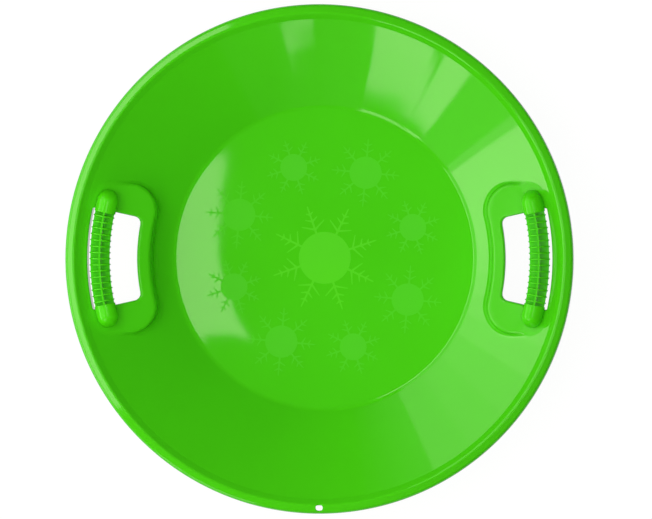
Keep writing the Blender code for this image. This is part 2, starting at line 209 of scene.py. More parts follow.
# Upright panels of the studio's lamps, in a ring round the object: name, azimuths in degrees, how
# many side by side, heights, tilt in degrees, and the first and last one's radiance
WARM_WHITE = (1.13, 1.0, 0.82)
PLAIN_WHITE = (1.0, 1.0, 1.0)
UPRIGHT_DISTANCE = 1.6
UPRIGHT_PANELS = [
    ("left_low_front", (124.0, 154.0), 3, (0.30, 0.80), 0.0, (1.1, 1.65)),
    ("left_low", (154.0, 184.0), 4, (0.30, 0.80), 0.0, (1.8, 3.2)),
    ("left_low_back", (184.0, 212.0), 3, (0.30, 0.80), 0.0, (3.2, 3.1)),
    ("left_low_rim", (212.0, 214.5), 1, (0.30, 0.80), 0.0, (1.2, 1.2)),
    ("left_low_end", (107.0, 124.0), 5, (0.30, 0.80), 0.0, (0.03, 0.42)),
    ("left_middle", (126.5, 213.0), 2, (0.80, 2.00), 0.0, (0.9, 0.9)),
    ("left_high", (120.0, 213.0), 3, (2.40, 3.20), 0.0, (3.0, 3.0)),
    ("left_upper", (126.5, 213.0), 2, (2.00, 2.40), 0.0, (0.45, 0.45)),
    ("gap", (214.5, 227.0), 1, (0.28, 1.20), 0.0, (0.45, 0.45)),
    ("front_narrow_foot", (227.0, 234.4), 1, (0.537, 0.632), 6.5, (3.0, 3.0)),
    ("front_narrow", (227.0, 234.0), 1, (0.632, 1.10), 6.5, (3.0, 3.0)),
    ("front_wide_foot", (234.6, 251.0), 1, (0.573, 0.632), 6.5, (2.8, 2.8)),
    ("front_wide_waist", (235.2, 251.0), 1, (0.632, 0.655), 6.5, (2.8, 2.8)),
    ("front_wide", (236.0, 251.0), 1, (0.655, 1.10), 6.5, (2.7, 2.7)),
    ("front_end", (251.8, 290.0), 3, (0.30, 1.10), 0.0, (0.18, 0.06)),
    ("front_high", (227.8, 251.0), 1, (1.10, 1.90), 0.0, (2.4, 2.4)),
    ("spot", (266.0, 274.0), 1, (0.70, 0.73), 0.0, (2.2, 2.2)),
]

# Level panels overhead: name, place, size, height, turn in degrees, radiance, colour, if mirrored
OVERHEAD_PANELS = [
    ("overhead", (0.5216, -0.1965), (0.75, 1.3), 5.0, 16.0, 3.4, WARM_WHITE, True),
    ("fill", (0.0, 0.0), (3.0, 3.0), 2.4, 0.0, 1.85, PLAIN_WHITE, False),
]

# Camera: how far it leans from straight overhead, and where the rim's middle lands in the picture
VIEW_LEAN_X = math.radians(4.48)
VIEW_LEAN_Y = math.radians(0.905)
RIM_LEVEL = 0.082
RIM_PIXEL = (319.50, 258.90)
FRAME_WIDTH = 652
FRAME_HEIGHT = 519
METRES_PER_PIXEL = 0.0011770
CAMERA_DISTANCE = 4.0

# Mesh of the dish: steps of its rings and of its profile's fillets, spacings, and clearances between
# points of unlike rows. The wall's rows end just inside the step at its top
RING_STEPS = 360
PROFILE_STEPS = (6, 10, 6, 10, 12)
FINE_STEPS = 60
FLOOR_SPACING = 0.008
WALL_SPACING = 0.007
OUTLINE_SPACING = 0.0032
ROW_CLEARANCE = 0.0022
RIM_CLEARANCE = 0.00025
FILL_SPACING = 0.0045
FLOOR_EDGE_REACH = 0.01
PLAN_EDGE_TILT = math.radians(58.0)
WALL_EDGE_RADIUS = WALL_TOP_RADIUS - 0.00066
LIP_STEPS = 8
EDGE_STEPS = 4
HOLE_SEGMENTS = 32

# Rows of points beside the pods' and holes' outlines, as distances outwards from them, and the rings
# where the pods' tops meet the wall
SHOULDER_TILTS = np.linspace(0.0, math.pi / 2.0 - POD_DRAFT, 9)
SHOULDER_ROWS = POD_EDGE_ROUND * (np.sin(SHOULDER_TILTS) - 1.0)
FLANK_ROWS = np.arange(0.0, 0.0046, 0.00025)[1:]
POD_FOOT_ROWS = (0.0050, 0.0056, 0.0064, 0.0075, 0.0090, 0.0110, 0.0140)
HAND_HOLE_ROWS = (0.0010, 0.0022, 0.0040, 0.0070)
SMALL_HOLE_ROWS = (0.0006, 0.0014, 0.0025)
POD_BACK_RADII = np.linspace(0.2680, 0.2812, 13)

# Accuracy: lengths taken as nothing, and how often a height is halved and a lip is moved
SAME_PLACE = 1e-6
PLAN_MERGE = 1e-8
FLAKE_MERGE = 1e-7
HALVINGS = 40
LIP_PASSES = 4

ORIGIN = np.zeros(2)
UP = np.array((0.0, 0.0, 1.0))


def polar(radius, angle):
    return np.array((radius * math.cos(angle), radius * math.sin(angle)))


def directions(angles):
    return np.stack((np.cos(angles), np.sin(angles)), axis=1)


def unit(vectors):
    return vectors / np.linalg.norm(vectors, axis=-1, keepdims=True)


def lift(points, heights):
    """Plan points given their heights."""
    return np.column_stack((points, np.broadcast_to(heights, len(points))))


# The turned profile


def rounded(corners, steps):
    """A polyline through corners (r, z, fillet radius), with its points' normals to the left."""
    xy = np.array([corner[:2] for corner in corners])
    ways = unit(np.diff(xy, axis=0))
    lefts = np.stack((-ways[:, 1], ways[:, 0]), axis=1)
    points = [xy[0]]
    normals = [lefts[0]]
    for i, count in enumerate(steps, start=1):
        fillet = corners[i][2]
        bend = math.asin(ways[i - 1][0] * ways[i][1] - ways[i - 1][1] * ways[i][0])
        side = math.copysign(1.0, bend)
        start = xy[i] - ways[i - 1] * fillet * math.tan(abs(bend) / 2.0)
        centre = start + side * fillet * lefts[i - 1]
        for angle in np.linspace(0.0, bend, count + 1):
            c, s = math.cos(angle), math.sin(angle)
            x, y = lefts[i - 1]
            normal = np.array((c * x - s * y, s * x + c * y))
            points.append(centre - side * fillet * normal)
            normals.append(normal)
    points.append(xy[-1])
    normals.append(lefts[-1])
    return np.array(points), np.array(normals)


def floor_edge_height():
    """Height of the corner between floor and wall, before its fillet."""
    return WALL_THICKNESS + (FLOOR_RADIUS - FLOOR_BEND_RADIUS) * math.tan(FLOOR_EDGE_SLOPE)


def dish_profile(steps):
    """Upper skin from the floor's centre, up the wall, over the rim and down its skirt."""
    bend_run = FLOOR_BEND_RADIUS - FLAT_FLOOR_RADIUS
    bend_fillet = bend_run / math.tan(FLOOR_EDGE_SLOPE / 2.0)
    flange_edge = STEP_TOP_HEIGHT - (OUTER_RADIUS - STEP_TOP_RADIUS) * math.tan(FLANGE_SLOPE)
    corners = [
        (0.0, WALL_THICKNESS),
        (FLOOR_BEND_RADIUS, WALL_THICKNESS, bend_fillet),
        (FLOOR_RADIUS, floor_edge_height(), FLOOR_EDGE_FILLET),
        (WALL_TOP_RADIUS, WALL_TOP_HEIGHT, STEP_FILLET),
        (STEP_TOP_RADIUS, STEP_TOP_HEIGHT, CREST_FILLET),
        (OUTER_RADIUS, flange_edge, FLANGE_FILLET),
        (OUTER_RADIUS, SKIRT_FOOT_HEIGHT + WALL_THICKNESS / 2.0),
    ]
    return rounded(corners, steps)


FINE_PROFILE, FINE_NORMALS = dish_profile([FINE_STEPS] * len(PROFILE_STEPS))


def wall_rise():
    """How far the wall rises for each metre outwards."""
    return (WALL_TOP_HEIGHT - floor_edge_height()) / (WALL_TOP_RADIUS - FLOOR_RADIUS)


def turned_height(radius):
    return np.interp(radius, FINE_PROFILE[:-1, 0], FINE_PROFILE[:-1, 1])


def turned_normals(points):
    """Unit normals of the turned skin, without the pods."""
    radius = np.hypot(points[:, 0], points[:, 1])
    outwards = np.interp(radius, FINE_PROFILE[:-1, 0], FINE_NORMALS[:-1, 0])
    upwards = np.interp(radius, FINE_PROFILE[:-1, 0], FINE_NORMALS[:-1, 1])
    aim = points / np.maximum(radius, SAME_PLACE)[:, None]
    return unit(np.column_stack((aim * outwards[:, None], upwards)))


# The pods' skin, joined to the dish's with a fillet


def pod_corner():
    y = POD_HALF_LENGTH - POD_CORNER_RADIUS
    return math.sqrt((POD_INNER_RADIUS + POD_CORNER_RADIUS) ** 2 - y ** 2), y


def pod_distance(x, y):
    """Plan distance outwards from the pods' outline at their shoulder, negative inside it."""
    x, y = np.abs(x), np.abs(y)
    corner_x, corner_y = pod_corner()
    across, along = x - corner_x, y - corner_y
    in_corner = (across < 0.0) & (corner_x * along > corner_y * across)
    corner = np.hypot(across, along) - POD_CORNER_RADIUS
    sides = np.maximum(POD_INNER_RADIUS - np.hypot(x, y), y - POD_HALF_LENGTH)
    return np.where(in_corner, corner, sides)


def pod_top(x):
    """Height of the pods' tops, which are level along Y."""
    fall = (POD_TOP_REACH - np.minimum(np.abs(x), WALL_TOP_RADIUS)) * math.tan(POD_TOP_SLOPE)
    return POD_TOP_HEIGHT - fall


def pod_field(x, y, z):
    """About the distance outside the pods, whose top edge is rounded."""
    over_shoulder = z - pod_top(x) + POD_EDGE_ROUND
    distance = np.maximum(pod_distance(x, y), np.hypot(x, y) - POD_BACK_RADIUS)
    off_flank = distance + over_shoulder * math.tan(POD_DRAFT)
    off_flank = off_flank * math.cos(POD_DRAFT) + POD_EDGE_ROUND
    outside = np.hypot(np.maximum(over_shoulder, 0.0), np.maximum(off_flank, 0.0))
    inside = np.minimum(np.maximum(over_shoulder, off_flank), 0.0)
    return outside + inside - POD_EDGE_ROUND


def skin_field(x, y, z):
    """Zero on the upper skin and positive above it."""
    radius = np.hypot(x, y)
    steepness = np.interp(radius, FINE_PROFILE[:-1, 0], FINE_NORMALS[:-1, 1])
    dish = (z - turned_height(radius)) * steepness
    pod = pod_field(x, y, z)
    gap = np.hypot(np.maximum(POD_FOOT_FILLET - dish, 0.0), np.maximum(POD_FOOT_FILLET - pod, 0.0))
    return np.maximum(np.minimum(dish, pod), POD_FOOT_FILLET) - gap


def skin_heights(points):
    """Heights of the upper skin over plan points, by halving."""
    x, y = points[:, 0], points[:, 1]
    low = turned_height(np.hypot(x, y)) - WALL_THICKNESS
    high = np.full(len(x), STEP_TOP_HEIGHT + WALL_THICKNESS)
    for _ in range(HALVINGS):
        middle = 0.5 * (low + high)
        above = skin_field(x, y, middle) > 0.0
        high = np.where(above, middle, high)
        low = np.where(above, low, middle)
    return 0.5 * (low + high)


def skin_normals(points, heights):
    """Unit normals of the upper skin: the field's slope by the pods, the profile's elsewhere."""
    x, y = points[:, 0], points[:, 1]
    step = SAME_PLACE
    slopes = [
        skin_field(x + step, y, heights) - skin_field(x - step, y, heights),
        skin_field(x, y + step, heights) - skin_field(x, y - step, heights),
        skin_field(x, y, heights + step) - skin_field(x, y, heights - step),
    ]
    normals = turned_normals(points)
    by_pod = pod_field(x, y, heights) < POD_FOOT_FILLET
    normals[by_pod] = unit(np.column_stack(slopes)[by_pod])
    return normals


# Outlines in plan, each a list of points with the normals that point away from the form


def arc(centre, radius, start, end, facing=1.0):
    """Points along an arc, and normals that point away from its centre, or to it if facing is -1."""
    steps = max(2, math.ceil(abs(end - start) * radius / OUTLINE_SPACING))
    angles = np.linspace(start, end, steps + 1)
    outwards = directions(angles)
    return np.asarray(centre) + radius * outwards, facing * outwards


def joined(arcs, closed):
    """Arcs in one line, with the straight stretches between them divided like the arcs."""
    points = [arcs[0][0]]
    normals = [arcs[0][1]]
    ways = zip(arcs, arcs[1:] + (arcs[:1] if closed else []))
    for (before, before_normals), (after, after_normals) in ways:
        run = np.linalg.norm(after[0] - before[-1])
        steps = math.ceil(run / OUTLINE_SPACING - SAME_PLACE)
        shares = np.arange(1, steps)[:, None] / max(steps, 1)
        points.append(before[-1] + shares * (after[0] - before[-1]))
        normals.append(np.repeat(before_normals[-1:], max(steps - 1, 0), axis=0))
        points.append(after if steps else after[1:])
        normals.append(after_normals if steps else after_normals[1:])
    points, normals = np.concatenate(points), np.concatenate(normals)
    count = len(points) - (len(arcs[0][0]) if closed else 0)
    return points[:count], normals[:count]


def hand_hole_outline():
    """The hand hole at +X, anticlockwise."""
    inner_reach = HOLE_INNER_RADIUS + HOLE_INNER_CORNER
    outer_reach = HOLE_OUTER_RADIUS - HOLE_OUTER_CORNER
    inner_angle = HOLE_HALF_ANGLE - math.asin(HOLE_INNER_CORNER / inner_reach)
    outer_angle = HOLE_HALF_ANGLE - math.asin(HOLE_OUTER_CORNER / outer_reach)
    side = HOLE_HALF_ANGLE + math.pi / 2.0
    arcs = [
        arc(ORIGIN, HOLE_OUTER_RADIUS, -outer_angle, outer_angle),
        arc(polar(outer_reach, outer_angle), HOLE_OUTER_CORNER, outer_angle, side),
        arc(polar(inner_reach, inner_angle), HOLE_INNER_CORNER, side, math.pi + inner_angle),
        arc(ORIGIN, HOLE_INNER_RADIUS, inner_angle, -inner_angle, facing=-1.0),
        arc(polar(inner_reach, -inner_angle), HOLE_INNER_CORNER, math.pi - inner_angle,
            2.0 * math.pi - side),
        arc(polar(outer_reach, -outer_angle), HOLE_OUTER_CORNER, -side, -outer_angle),
    ]
    return joined(arcs, closed=True)


def pod_outline():
    """The pod at +X at its shoulder, open at the rim, from its upper end round to its lower."""
    corner_x, corner_y = pod_corner()
    lean = math.atan2(corner_y, corner_x)
    end_x = math.sqrt(WALL_TOP_RADIUS ** 2 - POD_HALF_LENGTH ** 2)
    upper = (np.array([(end_x, POD_HALF_LENGTH)]), np.array([(0.0, 1.0)]))
    lower = (np.array([(end_x, -POD_HALF_LENGTH)]), np.array([(0.0, -1.0)]))
    arcs = [
        upper,
        arc((corner_x, corner_y), POD_CORNER_RADIUS, math.pi / 2.0, math.pi + lean),
        arc(ORIGIN, POD_INNER_RADIUS, lean, -lean, facing=-1.0),
        arc((corner_x, -corner_y), POD_CORNER_RADIUS, math.pi - lean, 1.5 * math.pi),
        lower,
    ]
    return joined(arcs, closed=False)


def lip_start(points, outwards):
    """Where the skin has to leave for its rolled lip to end on the hand hole's outline."""
    grow = np.full(len(points), HOLE_LIP_ROUND)
    for _ in range(LIP_PASSES):
        spots = points + grow[:, None] * outwards
        normals = skin_normals(spots, skin_heights(spots))
        towards = -np.sum(normals[:, :2] * outwards, axis=1)
        grow = HOLE_LIP_ROUND * (1.0 - towards)
    return points + grow[:, None] * outwards


def inside(points, loop):
    """Which plan points lie inside a closed loop."""
    x, y = points[:, 0, None], points[:, 1, None]
    after = np.roll(loop, -1, axis=0)
    crosses = (loop[:, 1] > y) != (after[:, 1] > y)
    rise = np.where(after[:, 1] == loop[:, 1], 1.0, after[:, 1] - loop[:, 1])
    reach = loop[:, 0] + (y - loop[:, 1]) * (after[:, 0] - loop[:, 0]) / rise
    return np.sum(crosses & (x < reach), axis=1) % 2 == 1


def ring(radius, steps=RING_STEPS):
    return radius * directions(np.arange(steps) * 2.0 * math.pi / steps)


def rings(radii):
    return np.concatenate([ring(radius) for radius in radii])


def spaced(start, end, spacing):
    return np.linspace(start, end, max(2, round(abs(end - start) / spacing) + 1))


def within(points, radius):
    """The plan points that keep clear of the ring at a radius, on its inner side."""
    return points[np.hypot(*points.T) < radius - RIM_CLEARANCE]


def small_hole_outlines():
    """Outlines of the tow hole and the peg holes at the skin, with their normals."""
    holes = [(np.array((0.0, -TOW_HOLE_FROM_AXIS)), TOW_HOLE_RADIUS)]
    for turn_angle in SIDES.values():
        for sign in BOTH_WAYS:
            holes.append((polar(GRIP_RADIUS, turn_angle + sign * PEG_ANGLE), PEG_HOLE_RADIUS))
    away = ring(1.0, HOLE_SEGMENTS)
    return [(centre + (radius + HOLE_EDGE_ROUND) * away, away) for centre, radius in holes]


class Plan:
    """Plan points that keep clear of the ones before them, and the loops they are cut along."""

    def __init__(self):
        self.points = []
        self.edges = []
        self.loops = []
        self.count = 0

    def add_loop(self, points, is_hole=True):
        indices = np.arange(len(points)) + self.count
        self.edges += list(zip(indices.tolist(), np.roll(indices, -1).tolist()))
        self.loops.append((indices, is_hole))
        self.add(points)

    def add(self, points, clearance=None):
        if clearance is not None:
            taken = np.concatenate(self.points)
            tree = KDTree(len(taken))
            for i, (x, y) in enumerate(taken):
                tree.insert((x, y, 0.0), i)
            tree.balance()
            far = [tree.find((x, y, 0.0))[2] > clearance for x, y in points]
            points = points[np.array(far, bool)]
            for indices, is_hole in self.loops:
                if is_hole:
                    points = points[~inside(points, taken[indices])]
        self.points.append(points)
        self.count += len(points)

    def add_both(self, points, clearance=None):
        """A row at +X, and the same row turned half round to -X."""
        self.add(points, clearance)
        self.add(-points, clearance)

    def triangulate(self):
        """Points and triangles of everything outside the holes."""
        points = np.concatenate(self.points)
        _, _, faces, origins, _, _ = delaunay_2d_cdt(
            [Vector(point) for point in points], self.edges, [], 0, PLAN_MERGE)
        sources = np.array([origin[0] for origin in origins])
        triangles = sources[np.array(faces)]
        middles = points[triangles].mean(axis=1)
        for indices, is_hole in self.loops:
            if is_hole:
                outside = ~inside(middles, points[indices])
                triangles, middles = triangles[outside], middles[outside]
        return points, triangles


def add_turned_rows(plan, floor_edge):
    """The floor's and the wall's rings, with the floor edge's own rings between them."""
    plan.add(rings(floor_edge), ROW_CLEARANCE)
    turned = [np.zeros((1, 2))]
    for radius in spaced(FLOOR_SPACING, floor_edge[0], FLOOR_SPACING)[:-1]:
        turned.append(ring(radius, math.ceil(2.0 * math.pi * radius / FILL_SPACING)))
    turned.append(rings(spaced(floor_edge[-1], WALL_EDGE_RADIUS, WALL_SPACING)[1:-1]))
    plan.add(np.concatenate(turned), ROW_CLEARANCE)


def dish_plan():
    """Plan points of the dish within the bend of its flange, each loop in its own order."""
    profile, profile_normals = dish_profile(PROFILE_STEPS)
    radii = profile[:, 0]
    tilts = np.arctan2(*profile_normals.T)
    rim_start = np.argmax(radii >= WALL_EDGE_RADIUS)
    edge = rim_start + np.argmax(tilts[rim_start:] > PLAN_EDGE_TILT)
    outline, outwards = hand_hole_outline()
    lip = lip_start(outline, outwards)
    small_holes = small_hole_outlines()
    plan = Plan()
    for loop in (lip, -lip, *(hole for hole, _ in small_holes)):
        plan.add_loop(loop)
    plan.add_loop(ring(radii[edge])[::-1], is_hole=False)
    shoulder, away = pod_outline()
    for row in (*SHOULDER_ROWS, *FLANK_ROWS, *POD_FOOT_ROWS):
        plan.add_both(within(shoulder + row * away, WALL_EDGE_RADIUS))
    plan.add(rings(radii[rim_start:edge]), RIM_CLEARANCE)
    for hole, away in small_holes:
        for row in SMALL_HOLE_ROWS:
            plan.add(within(hole + row * away, radii[edge]), RIM_CLEARANCE)
    for row in HAND_HOLE_ROWS:
        plan.add_both(within(lip + row * outwards, WALL_EDGE_RADIUS), 2.0 * RIM_CLEARANCE)
    back = rings(POD_BACK_RADII)
    plan.add(back[pod_distance(back[:, 0], back[:, 1]) < -POD_EDGE_ROUND], 2.0 * RIM_CLEARANCE)
    add_turned_rows(plan, radii[np.abs(radii - FLOOR_RADIUS) < FLOOR_EDGE_REACH])
    return plan, profile[edge:], profile_normals[edge:], outwards


# Sheets: points with normals and faces, given their thickness at the end


class Sheet:
    """The upper skin as it grows, row by row, from its plan mesh."""

    def __init__(self, points, normals, triangles):
        self.points = [points]
        self.normals = [normals]
        self.faces = triangles.tolist()
        self.count = len(points)

    def add_row(self, points, normals):
        self.points.append(points)
        self.normals.append(normals)
        self.count += len(points)
        return np.arange(self.count - len(points), self.count)

    def at(self, row):
        return np.concatenate(self.points)[row], np.concatenate(self.normals)[row]

    def strip(self, before, after):
        """Faces between two closed rows, seen from the skin's upper side."""
        corners = zip(before, np.roll(before, -1), np.roll(after, -1), after)
        self.faces += [[int(i) for i in corner] for corner in corners]

    def grow(self, row, points, normals):
        after = self.add_row(points, normals)
        self.strip(row, after)
        return after


def turned_towards(normals, aims, share):
    """Unit vectors a share of the way round from normals to aims."""
    angle = np.arccos(np.clip(np.sum(normals * aims, axis=1), -1.0, 1.0))[:, None]
    spread = np.sin((1.0 - share) * angle) * normals + np.sin(share * angle) * aims
    return unit(spread)


def roll(sheet, row, aims, radius):
    """Rows that roll the skin over to face the aims; gives the last one."""
    points, normals = sheet.at(row)
    centres = points - radius * normals
    for share in np.linspace(0.0, 1.0, LIP_STEPS + 1)[1:]:
        facing = turned_towards(normals, aims, share)
        row = sheet.grow(row, centres + radius * facing, facing)
    return row


def hang_collar(sheet, row):
    """A row straight below the given one, at the collar's foot."""
    points, normals = sheet.at(row)
    return sheet.grow(row, lift(points[:, :2], COLLAR_FOOT_HEIGHT + WALL_THICKNESS / 2.0), normals)


def round_edge(sheet, upper, lower, away, radius):
    """Rows round an open edge, away from the material, from its upper row to its lower one."""
    points, normals = sheet.at(upper)
    across = unit(away - np.sum(away * normals, axis=1, keepdims=True) * normals)
    row = upper
    quarter = np.linspace(0.0, math.pi / 2.0, EDGE_STEPS + 1)
    meets = 2.0 * radius > WALL_THICKNESS - RIM_CLEARANCE
    halves = [(radius, quarter[1:]),
              (WALL_THICKNESS - radius, math.pi / 2.0 + (quarter[1:-1] if meets else quarter[:-1]))]
    for depth, leans in halves:
        for lean in leans:
            facing = math.cos(lean) * normals + math.sin(lean) * across
            row = sheet.grow(row, points - depth * normals + radius * facing, facing)
    sheet.strip(row, lower)


def dish_arrays():
    """The dish's closed mesh: points, normals and faces."""
    plan, rim, rim_normals, outwards = dish_plan()
    flat, triangles = plan.triangulate()
    heights = skin_heights(flat)
    sheet = Sheet(lift(flat, heights), skin_normals(flat, heights), triangles)
    edges = []
    for side in range(2):
        aims = lift(outwards if side else -outwards, 0.0)
        row = roll(sheet, plan.loops[side][0], aims, HOLE_LIP_ROUND)
        row = hang_collar(sheet, row)
        edges.append((row, np.broadcast_to(-UP, (len(row), 3)), WALL_THICKNESS / 2.0))
    for row, _ in plan.loops[2:-1]:
        points, _ = sheet.at(row)
        edges.append((row, points.mean(axis=0) - points, HOLE_EDGE_ROUND))
    row = plan.loops[-1][0]
    facing = unit(flat[row])
    for (radius, height), (out, up) in zip(rim[1:], rim_normals[1:]):
        normals = np.column_stack((facing * out, np.full(len(row), up)))
        row = sheet.grow(row, lift(facing * radius, height), normals)
    edges.append((row, np.broadcast_to(-UP, (len(row), 3)), WALL_THICKNESS / 2.0))
    points, normals = sheet.at(slice(None))
    upper_count = sheet.count
    under = [face[::-1] for face in sheet.faces]
    sheet.add_row(points - WALL_THICKNESS * normals, -normals)
    sheet.faces += [[i + upper_count for i in face] for face in under]
    for row, away, radius in edges:
        round_edge(sheet, row, row + upper_count, away, radius)
    points, normals = sheet.at(slice(None))
    return points, normals, sheet.faces


def mesh_object(name, points, faces, normals=None):
    mesh = bpy.data.meshes.new(name)
    mesh.from_pydata(np.asarray(points).tolist(), [], faces)
    mesh.polygons.foreach_set("use_smooth", [True] * len(mesh.polygons))
    obj = bpy.data.objects.new(name, mesh)
    bpy.context.scene.collection.objects.link(obj)
    if normals is not None:
        mesh.normals_split_custom_set_from_vertices(np.asarray(normals).tolist())
    return obj


def without_loose(rows, faces):
    """The rows of points that some face uses, and the faces numbered by them."""
    used = np.unique(np.concatenate([np.asarray(face) for face in faces]))
    places = np.zeros(len(rows), int)
    places[used] = np.arange(len(used))
    return rows[used], [[int(places[i]) for i in face] for face in faces]


def make_dish():
    points, normals, faces = dish_arrays()
    rows, faces = without_loose(np.column_stack((points, normals)), faces)
    return mesh_object("saucer_dish", rows[:, :3], faces, rows[:, 3:])


# Grips


def grip_point(angle, across, height):
    """A point beside the grip's bent axis: across is outwards from the dish's centre."""
    x, y = polar(GRIP_RADIUS + across, angle)
    return Vector((x, y, height))


def loft(bm, ring_rows):
    """A closed body through rings of points, capped at both ends."""
    rows = [[bm.verts.new(point) for point in points] for points in ring_rows]
    for before, after in zip(rows, rows[1:]):
        for i in range(len(before)):
            j = (i + 1) % len(before)
            bm.faces.new((before[i], before[j], after[j], after[i]))
    bm.faces.new(rows[0][::-1])
    bm.faces.new(rows[-1])


def bmesh_object(name, bm):
    """An object of a bmesh, which is then gone."""
    bmesh.ops.recalc_face_normals(bm, faces=bm.faces)
    mesh = bpy.data.meshes.new(name)
    bm.to_mesh(mesh)
    bm.free()
    obj = bpy.data.objects.new(name, mesh)
    bpy.context.scene.collection.objects.link(obj)
    return obj


def body(name, lofts):
    """One object of closed bodies, each lofted through its rings."""
    bm = bmesh.new()
    for ring_rows in lofts:
        loft(bm, ring_rows)
    return bmesh_object(name, bm)


def boolean(obj, other, operation):
    """Joins or cuts obj with other, which is then gone."""
    modifier = obj.modifiers.new("boolean", "BOOLEAN")
    modifier.object = other
    modifier.operation = operation
    modifier.solver = "EXACT"
    modifier.use_self = True
    bpy.context.view_layer.update()
    graph = bpy.context.evaluated_depsgraph_get()
    mesh = bpy.data.meshes.new_from_object(obj.evaluated_get(graph))
    obj.modifiers.clear()
    obj.data = mesh
    bpy.data.objects.remove(other)


def spine_section():
    """Cross of the upright web and the pocket floor, as (across, height) corners."""
    web, tall = WEB_HALF_THICKNESS, WEB_HALF_HEIGHT
    wide, floor = FLOOR_HALF_WIDTH, FLOOR_HALF_THICKNESS
    return [
        (wide, -floor), (wide, floor), (web, floor), (web, tall),
        (-web, tall), (-web, floor), (-wide, floor), (-wide, -floor),
        (-web, -floor), (-web, -tall), (web, -tall), (web, -floor),
    ]


def spine_rings(turn_angle):
    """The cross of web and floor along the grip's bent axis."""
    ring_rows = []
    for i in range(SPINE_STEPS + 1):
        angle = turn_angle + END_PLATE_ANGLE * (2.0 * i / SPINE_STEPS - 1.0)
        ring_rows.append([grip_point(angle, across, GRIP_CENTRE_HEIGHT + height)
                          for across, height in spine_section()])
    return ring_rows


def fin_rings(angle, thickness):
    """One upright oval plate with rounded edges, square to the grip's axis."""
    tangent = Vector((-math.sin(angle), math.cos(angle), 0.0))
    offsets = []
    for degrees in FIN_EDGE_DEGREES:
        lean = math.radians(degrees)
        inset = FIN_EDGE_ROUND * (1.0 - math.cos(lean))
        offsets.append((-thickness / 2.0 + FIN_EDGE_ROUND * (1.0 - math.sin(lean)), inset))
    offsets += [(-along, inset) for along, inset in reversed(offsets)]
    ring_rows = []
    for along, inset in offsets:
        points = []
        for i in range(FIN_SIDES):
            turn = 2.0 * math.pi * i / FIN_SIDES
            across = (GRIP_HALF_WIDTH - inset) * math.cos(turn)
            rise = (GRIP_HALF_HEIGHT - inset) * math.sin(turn)
            points.append(grip_point(angle, across, GRIP_CENTRE_HEIGHT + rise) + along * tangent)
        ring_rows.append(points)
    return ring_rows


def dome_section(turn_angle, angle, scale):
    """Part of an oval, cut straight just above the pod's sloping top."""
    base = pod_top(GRIP_RADIUS * math.cos(angle)) + SEAT_GAP
    slant = GRIP_HALF_WIDTH * math.tan(POD_TOP_SLOPE) * math.cos(angle)
    turn = math.atan2(slant, GRIP_HALF_HEIGHT)
    cut = math.asin((base - GRIP_CENTRE_HEIGHT) / math.hypot(GRIP_HALF_HEIGHT, slant))
    points = []
    for i in range(DOME_SIDES + 1):
        lean = turn + cut + (math.pi - 2.0 * cut) * i / DOME_SIDES
        across = GRIP_HALF_WIDTH * math.cos(lean)
        rise = GRIP_CENTRE_HEIGHT + GRIP_HALF_HEIGHT * math.sin(lean) - base
        points.append(grip_point(turn_angle + angle, across * scale, base + rise * scale))
    return points


def dome_rings(turn_angle, sign):
    """One domed foot, rounded shut at its far end."""
    ring_rows = [dome_section(turn_angle, sign * DOME_START_ANGLE, 1.0)]
    for i in range(DOME_RINGS):
        lean = 0.5 * math.pi * i / DOME_RINGS
        angle = DOME_TAPER_ANGLE + math.sin(lean) * (DOME_END_ANGLE - DOME_TAPER_ANGLE)
        ring_rows.append(dome_section(turn_angle, sign * angle, math.cos(lean)))
    return ring_rows


def peg_head_height():
    """Top of the pegs' barbed heads, just under the pods' sloping skin."""
    inner_edge = GRIP_RADIUS * math.cos(PEG_ANGLE) - PEG_HEAD_RADIUS
    return pod_top(inner_edge) - WALL_THICKNESS / math.cos(POD_TOP_SLOPE) - SEAT_GAP


def wall_space():
    """Everything below the wall's upper skin and the grips' gap to it."""
    gap = SEAT_GAP * math.hypot(1.0, wall_rise())
    levels = [
        (WALL_TOP_RADIUS, -WALL_THICKNESS),
        (WALL_TOP_RADIUS, WALL_TOP_HEIGHT + gap),
        (FLOOR_RADIUS, floor_edge_height() + gap),
    ]
    ring_rows = [[Vector((x, y, height)) for x, y in ring(radius)] for radius, height in levels]
    return body("wall_space", [ring_rows])


def peg_rings(angle):
    """A turned peg with a barbed head."""
    head = peg_head_height()
    outline = [
        (PEG_TIP_RADIUS, PEG_TIP_HEIGHT), (PEG_HEAD_RADIUS, head - PEG_HEAD_LIP),
        (PEG_HEAD_RADIUS, head), (PEG_RADIUS, head), (PEG_RADIUS, PEG_ROOT_HEIGHT),
    ]
    ring_rows = []
    for radius, height in outline:
        flat = polar(GRIP_RADIUS, angle) + ring(radius, PEG_SIDES)
        ring_rows.append([Vector((x, y, height)) for x, y in flat])
    return ring_rows


def make_slits(turn_angle):
    """Slits that let each barbed head squeeze through its hole."""
    high = peg_head_height()
    low = PEG_TIP_HEIGHT - PEG_HEAD_RADIUS
    size = (PEG_SLIT_LENGTH, PEG_SLIT_WIDTH, high - low, 1.0)
    bm = bmesh.new()
    for sign in BOTH_WAYS:
        angle = turn_angle + sign * PEG_ANGLE
        middle = Matrix.Translation(grip_point(angle, 0.0, (low + high) / 2.0))
        aim = Matrix.Rotation(angle, 4, "Z")
        bmesh.ops.create_cube(bm, size=1.0, matrix=middle @ aim @ Matrix.Diagonal(size))
    return bmesh_object("slits", bm)


